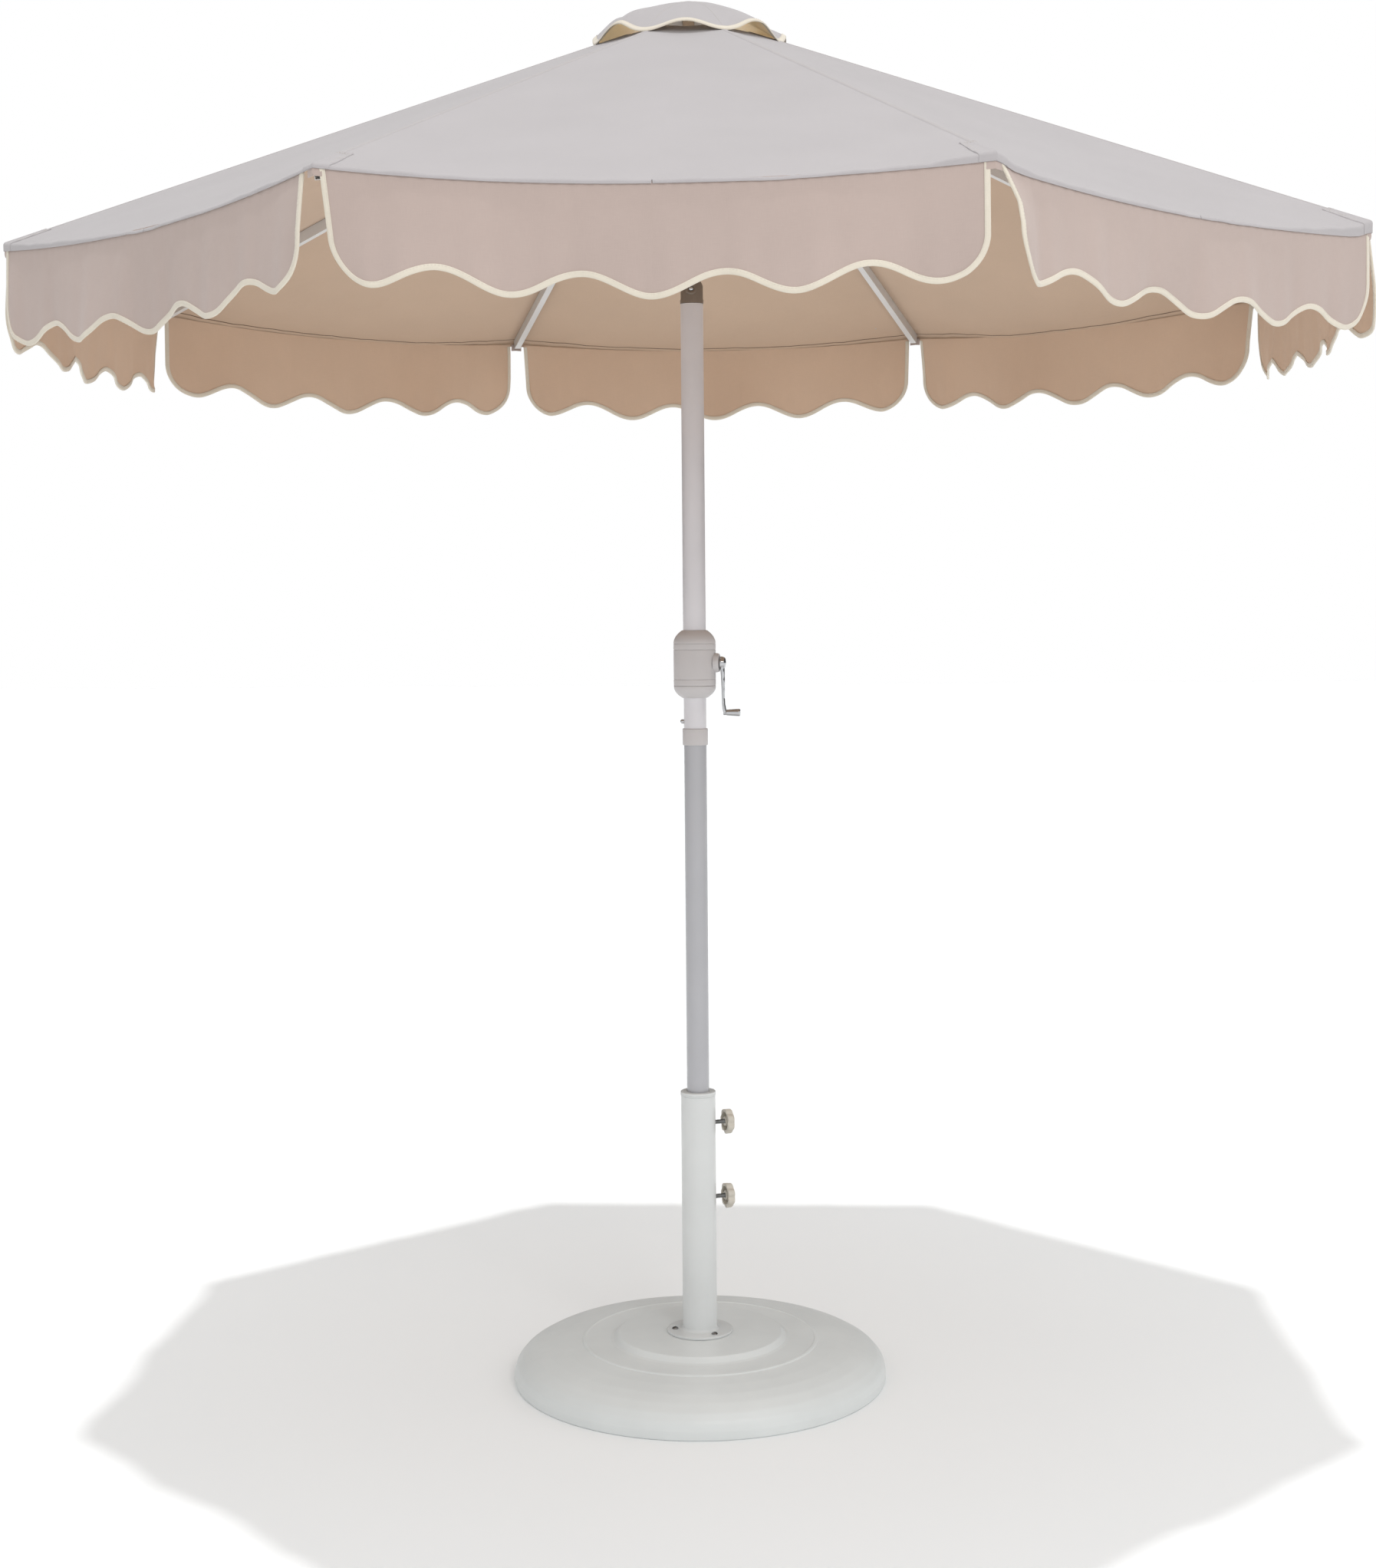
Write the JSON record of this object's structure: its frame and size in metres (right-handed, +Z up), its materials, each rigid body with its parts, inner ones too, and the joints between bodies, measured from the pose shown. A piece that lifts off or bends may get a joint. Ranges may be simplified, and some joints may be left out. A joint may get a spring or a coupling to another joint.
{
  "type": "patio umbrella with base",
  "caption": "Octagonal patio umbrella with a scalloped valance and vented top, on a cranked tilting pole that stands in a weighted round base.",
  "frame": {"origin": "on the floor at the centre of the base, on the pole's axis", "axes": "+Z up along the pole; -Y towards the front, where a straight edge of the canopy and the tilt button face; the crank points towards +X"},
  "size_m": [2.0354, 2.0354, 2.321],
  "materials": {
    "base_shell": "satin",
    "base_ballast": "matte",
    "base_tube": "satin",
    "flange_screws": "satin",
    "tube_cap": "satin",
    "clamp_studs": "satin",
    "clamp_knobs": "satin",
    "poles": "satin",
    "collar": "satin",
    "chrome": "polished",
    "housing": "satin",
    "crank_spool": "satin",
    "tilt_sleeve": "satin",
    "tilt_pin": "satin",
    "hub": "satin",
    "runner": "satin",
    "ribs": "satin",
    "struts": "satin",
    "canopy": "matte",
    "valance": "matte"
  },
  "bodies": {
    "base": {"base_shell": "base_shell", "base_ballast": "base_ballast", "base_tube": "base_tube", "flange_screw_1": "flange_screws", "flange_screw_2": "flange_screws", "flange_screw_3": "flange_screws"},
    "clamp_screw_upper": {"clamp_stud_upper": "clamp_studs"},
    "clamp_wheel_upper": {"clamp_knob_upper": "clamp_knobs"},
    "clamp_screw_lower": {"clamp_stud_lower": "clamp_studs"},
    "clamp_wheel_lower": {"clamp_knob_lower": "clamp_knobs"},
    "pole_guide": {"tube_cap": "tube_cap"},
    "pole": {"lower_pole": "poles", "pole_collar": "collar", "crank_pole": "poles", "housing_shell": "housing", "housing_cap": "housing", "tilt_sleeve": "tilt_sleeve", "tilt_pin": "tilt_pin"},
    "snap_pin": {"snap_button": "chrome"},
    "tilt_catch": {"tilt_button": "chrome"},
    "crank": {"crank_spool": "crank_spool", "crank_arm": "chrome"},
    "crank_handle": {"crank_grip": "chrome"},
    "canopy_mast": {"upper_pole": "poles", "hub": "hub", "hub_cap": "hub", "vent_cap": "canopy"},
    "runner_ring": {"runner": "runner"},
    "rib_body_1": {"rib_1": "ribs", "canopy_gore_1": "canopy"},
    "strut_body_1": {"strut_1": "struts"},
    "valance_body_1": {"valance_1": "valance"},
    "rib_body_2": {"rib_2": "ribs", "canopy_gore_2": "canopy"},
    "strut_body_2": {"strut_2": "struts"},
    "valance_body_2": {"valance_2": "valance"},
    "rib_body_3": {"rib_3": "ribs", "canopy_gore_3": "canopy"},
    "strut_body_3": {"strut_3": "struts"},
    "valance_body_3": {"valance_3": "valance"},
    "rib_body_4": {"rib_4": "ribs", "canopy_gore_4": "canopy"},
    "strut_body_4": {"strut_4": "struts"},
    "valance_body_4": {"valance_4": "valance"},
    "rib_body_5": {"rib_5": "ribs", "canopy_gore_5": "canopy"},
    "strut_body_5": {"strut_5": "struts"},
    "valance_body_5": {"valance_5": "valance"},
    "rib_body_6": {"rib_6": "ribs", "canopy_gore_6": "canopy"},
    "strut_body_6": {"strut_6": "struts"},
    "valance_body_6": {"valance_6": "valance"},
    "rib_body_7": {"rib_7": "ribs", "canopy_gore_7": "canopy"},
    "strut_body_7": {"strut_7": "struts"},
    "valance_body_7": {"valance_7": "valance"},
    "rib_body_8": {"rib_8": "ribs", "canopy_gore_8": "canopy"},
    "strut_body_8": {"strut_8": "struts"},
    "valance_body_8": {"valance_8": "valance"}
  },
  "joints": [
    {"name": "clamp_screw_upper_slide", "type": "slide", "parent": "base", "child": "clamp_screw_upper", "axis": [0.9291, 0.3697, 0], "range_m": [0, 0.0075]},
    {"name": "clamp_knob_upper_turn", "type": "hinge", "parent": "clamp_screw_upper", "child": "clamp_wheel_upper", "pos_m": [0, 0, 0.442], "axis": [0.9291, 0.3697, 0], "range_deg": [0, 2160]},
    {"name": "clamp_screw_lower_slide", "type": "slide", "parent": "base", "child": "clamp_screw_lower", "axis": [0.9291, 0.3697, 0], "range_m": [0, 0.0075]},
    {"name": "clamp_knob_lower_turn", "type": "hinge", "parent": "clamp_screw_lower", "child": "clamp_wheel_lower", "pos_m": [0, 0, 0.312], "axis": [0.9291, 0.3697, 0], "range_deg": [0, 2160]},
    {"name": "pole_swivel", "type": "hinge", "parent": "base", "child": "pole_guide", "pos_m": [0, 0, 0.48], "axis": [0, 0, 1], "continuous": true},
    {"name": "pole_lift", "type": "slide", "parent": "pole_guide", "child": "pole", "axis": [0, 0, 1], "range_m": [0, 0.4]},
    {"name": "snap_button_press", "type": "slide", "parent": "pole", "child": "snap_pin", "axis": [1, 0, 0], "range_m": [0, 0.006], "stiffness_N_per_m": 400},
    {"name": "tilt_button_press", "type": "slide", "parent": "pole", "child": "tilt_catch", "axis": [0, 1, 0], "range_m": [0, 0.0012], "stiffness_N_per_m": 400},
    {"name": "canopy_tilt", "type": "hinge", "parent": "pole", "child": "canopy_mast", "pos_m": [0, 0, 1.853], "axis": [0, 1, 0], "range_deg": [-30, 0]},
    {"name": "canopy_fold", "type": "hinge", "parent": "canopy_mast", "child": "rib_body_1", "pos_m": [0.01301, -0.03141, 2.277], "axis": [0.9239, 0.3827, 0], "range_deg": [0, 65], "deforming": ["canopy_gore_1"]},
    {"name": "rib_2_hinge", "type": "hinge", "parent": "canopy_mast", "child": "rib_body_2", "pos_m": [0.03141, -0.01301, 2.277], "axis": [0.3827, 0.9239, 0], "range_deg": [0, 65], "deforming": ["canopy_gore_2"]},
    {"name": "rib_3_hinge", "type": "hinge", "parent": "canopy_mast", "child": "rib_body_3", "pos_m": [0.03141, 0.01301, 2.277], "axis": [-0.3827, 0.9239, 0], "range_deg": [0, 65], "deforming": ["canopy_gore_3"]},
    {"name": "rib_4_hinge", "type": "hinge", "parent": "canopy_mast", "child": "rib_body_4", "pos_m": [0.01301, 0.03141, 2.277], "axis": [-0.9239, 0.3827, 0], "range_deg": [0, 65], "deforming": ["canopy_gore_4"]},
    {"name": "rib_5_hinge", "type": "hinge", "parent": "canopy_mast", "child": "rib_body_5", "pos_m": [-0.01301, 0.03141, 2.277], "axis": [-0.9239, -0.3827, 0], "range_deg": [0, 65], "deforming": ["canopy_gore_5"]},
    {"name": "rib_6_hinge", "type": "hinge", "parent": "canopy_mast", "child": "rib_body_6", "pos_m": [-0.03141, 0.01301, 2.277], "axis": [-0.3827, -0.9239, 0], "range_deg": [0, 65], "deforming": ["canopy_gore_6"]},
    {"name": "rib_7_hinge", "type": "hinge", "parent": "canopy_mast", "child": "rib_body_7", "pos_m": [-0.03141, -0.01301, 2.277], "axis": [0.3827, -0.9239, 0], "range_deg": [0, 65], "deforming": ["canopy_gore_7"]},
    {"name": "rib_8_hinge", "type": "hinge", "parent": "canopy_mast", "child": "rib_body_8", "pos_m": [-0.01301, -0.03141, 2.277], "axis": [0.9239, -0.3827, 0], "range_deg": [0, 65], "deforming": ["canopy_gore_8"]},
    {"name": "strut_1_hinge", "type": "hinge", "parent": "rib_body_1", "child": "strut_body_1", "pos_m": [0.17886, -0.43181, 2.09444], "axis": [0.9239, 0.3827, 0], "range_deg": [-130, 0]},
    {"name": "valance_1_hinge", "type": "hinge", "parent": "rib_body_1", "child": "valance_body_1", "pos_m": [0.4213, -1.0171, 1.87988], "axis": [0.9239, 0.3827, 0], "range_deg": [-65, 0], "deforming": ["valance_1"]},
    {"name": "strut_2_hinge", "type": "hinge", "parent": "rib_body_2", "child": "strut_body_2", "pos_m": [0.43181, -0.17886, 2.09444], "axis": [0.3827, 0.9239, 0], "range_deg": [-130, 0]},
    {"name": "valance_2_hinge", "type": "hinge", "parent": "rib_body_2", "child": "valance_body_2", "pos_m": [1.0171, -0.4213, 1.87988], "axis": [0.3827, 0.9239, 0], "range_deg": [-65, 0], "deforming": ["valance_2"]},
    {"name": "strut_3_hinge", "type": "hinge", "parent": "rib_body_3", "child": "strut_body_3", "pos_m": [0.43181, 0.17886, 2.09444], "axis": [-0.3827, 0.9239, 0], "range_deg": [-130, 0]},
    {"name": "valance_3_hinge", "type": "hinge", "parent": "rib_body_3", "child": "valance_body_3", "pos_m": [1.0171, 0.4213, 1.87988], "axis": [-0.3827, 0.9239, 0], "range_deg": [-65, 0], "deforming": ["valance_3"]},
    {"name": "strut_4_hinge", "type": "hinge", "parent": "rib_body_4", "child": "strut_body_4", "pos_m": [0.17886, 0.43181, 2.09444], "axis": [-0.9239, 0.3827, 0], "range_deg": [-130, 0]},
    {"name": "valance_4_hinge", "type": "hinge", "parent": "rib_body_4", "child": "valance_body_4", "pos_m": [0.4213, 1.0171, 1.87988], "axis": [-0.9239, 0.3827, 0], "range_deg": [-65, 0], "deforming": ["valance_4"]},
    {"name": "strut_5_hinge", "type": "hinge", "parent": "rib_body_5", "child": "strut_body_5", "pos_m": [-0.17886, 0.43181, 2.09444], "axis": [-0.9239, -0.3827, 0], "range_deg": [-130, 0]},
    {"name": "valance_5_hinge", "type": "hinge", "parent": "rib_body_5", "child": "valance_body_5", "pos_m": [-0.4213, 1.0171, 1.87988], "axis": [-0.9239, -0.3827, 0], "range_deg": [-65, 0], "deforming": ["valance_5"]},
    {"name": "strut_6_hinge", "type": "hinge", "parent": "rib_body_6", "child": "strut_body_6", "pos_m": [-0.43181, 0.17886, 2.09444], "axis": [-0.3827, -0.9239, 0], "range_deg": [-130, 0]},
    {"name": "valance_6_hinge", "type": "hinge", "parent": "rib_body_6", "child": "valance_body_6", "pos_m": [-1.0171, 0.4213, 1.87988], "axis": [-0.3827, -0.9239, 0], "range_deg": [-65, 0], "deforming": ["valance_6"]},
    {"name": "strut_7_hinge", "type": "hinge", "parent": "rib_body_7", "child": "strut_body_7", "pos_m": [-0.43181, -0.17886, 2.09444], "axis": [0.3827, -0.9239, 0], "range_deg": [-130, 0]},
    {"name": "valance_7_hinge", "type": "hinge", "parent": "rib_body_7", "child": "valance_body_7", "pos_m": [-1.0171, -0.4213, 1.87988], "axis": [0.3827, -0.9239, 0], "range_deg": [-65, 0], "deforming": ["valance_7"]},
    {"name": "strut_8_hinge", "type": "hinge", "parent": "rib_body_8", "child": "strut_body_8", "pos_m": [-0.17886, -0.43181, 2.09444], "axis": [0.9239, -0.3827, 0], "range_deg": [-130, 0]},
    {"name": "valance_8_hinge", "type": "hinge", "parent": "rib_body_8", "child": "valance_body_8", "pos_m": [-0.4213, -1.0171, 1.87988], "axis": [0.9239, -0.3827, 0], "range_deg": [-65, 0], "deforming": ["valance_8"]},
    {"name": "runner_slide", "type": "slide", "parent": "canopy_mast", "child": "runner_ring", "axis": [0, 0, -1], "range_m": [0, 0.5753]},
    {"name": "crank_turn", "type": "hinge", "parent": "pole", "child": "crank", "pos_m": [0, 0, 1.232], "axis": [0.9925, -0.1219, 0], "range_deg": [0, 2880]},
    {"name": "crank_grip_spin", "type": "hinge", "parent": "crank", "child": "crank_handle", "pos_m": [0, 0, 1.148], "axis": [0.9925, -0.1219, 0], "continuous": true}
  ],
  "couplings": [
    {"joint": "rib_2_hinge", "follows": "canopy_fold", "ratio": 1},
    {"joint": "rib_3_hinge", "follows": "canopy_fold", "ratio": 1},
    {"joint": "rib_4_hinge", "follows": "canopy_fold", "ratio": 1},
    {"joint": "rib_5_hinge", "follows": "canopy_fold", "ratio": 1},
    {"joint": "rib_6_hinge", "follows": "canopy_fold", "ratio": 1},
    {"joint": "rib_7_hinge", "follows": "canopy_fold", "ratio": 1},
    {"joint": "rib_8_hinge", "follows": "canopy_fold", "ratio": 1},
    {"joint": "strut_1_hinge", "follows": "canopy_fold", "ratio": -2},
    {"joint": "valance_1_hinge", "follows": "canopy_fold", "ratio": -1},
    {"joint": "strut_2_hinge", "follows": "canopy_fold", "ratio": -2},
    {"joint": "valance_2_hinge", "follows": "canopy_fold", "ratio": -1},
    {"joint": "strut_3_hinge", "follows": "canopy_fold", "ratio": -2},
    {"joint": "valance_3_hinge", "follows": "canopy_fold", "ratio": -1},
    {"joint": "strut_4_hinge", "follows": "canopy_fold", "ratio": -2},
    {"joint": "valance_4_hinge", "follows": "canopy_fold", "ratio": -1},
    {"joint": "strut_5_hinge", "follows": "canopy_fold", "ratio": -2},
    {"joint": "valance_5_hinge", "follows": "canopy_fold", "ratio": -1},
    {"joint": "strut_6_hinge", "follows": "canopy_fold", "ratio": -2},
    {"joint": "valance_6_hinge", "follows": "canopy_fold", "ratio": -1},
    {"joint": "strut_7_hinge", "follows": "canopy_fold", "ratio": -2},
    {"joint": "valance_7_hinge", "follows": "canopy_fold", "ratio": -1},
    {"joint": "strut_8_hinge", "follows": "canopy_fold", "ratio": -2},
    {"joint": "valance_8_hinge", "follows": "canopy_fold", "ratio": -1},
    {"joint": "runner_slide", "follows": "canopy_fold", "m_per_rad": 0.50664},
    {"joint": "crank_turn", "follows": "canopy_fold", "ratio": 44.308},
    {"joint": "clamp_screw_upper_slide", "follows": "clamp_knob_upper_turn", "m_per_rad": 0.00019894},
    {"joint": "clamp_screw_lower_slide", "follows": "clamp_knob_lower_turn", "m_per_rad": 0.00019894}
  ]
}
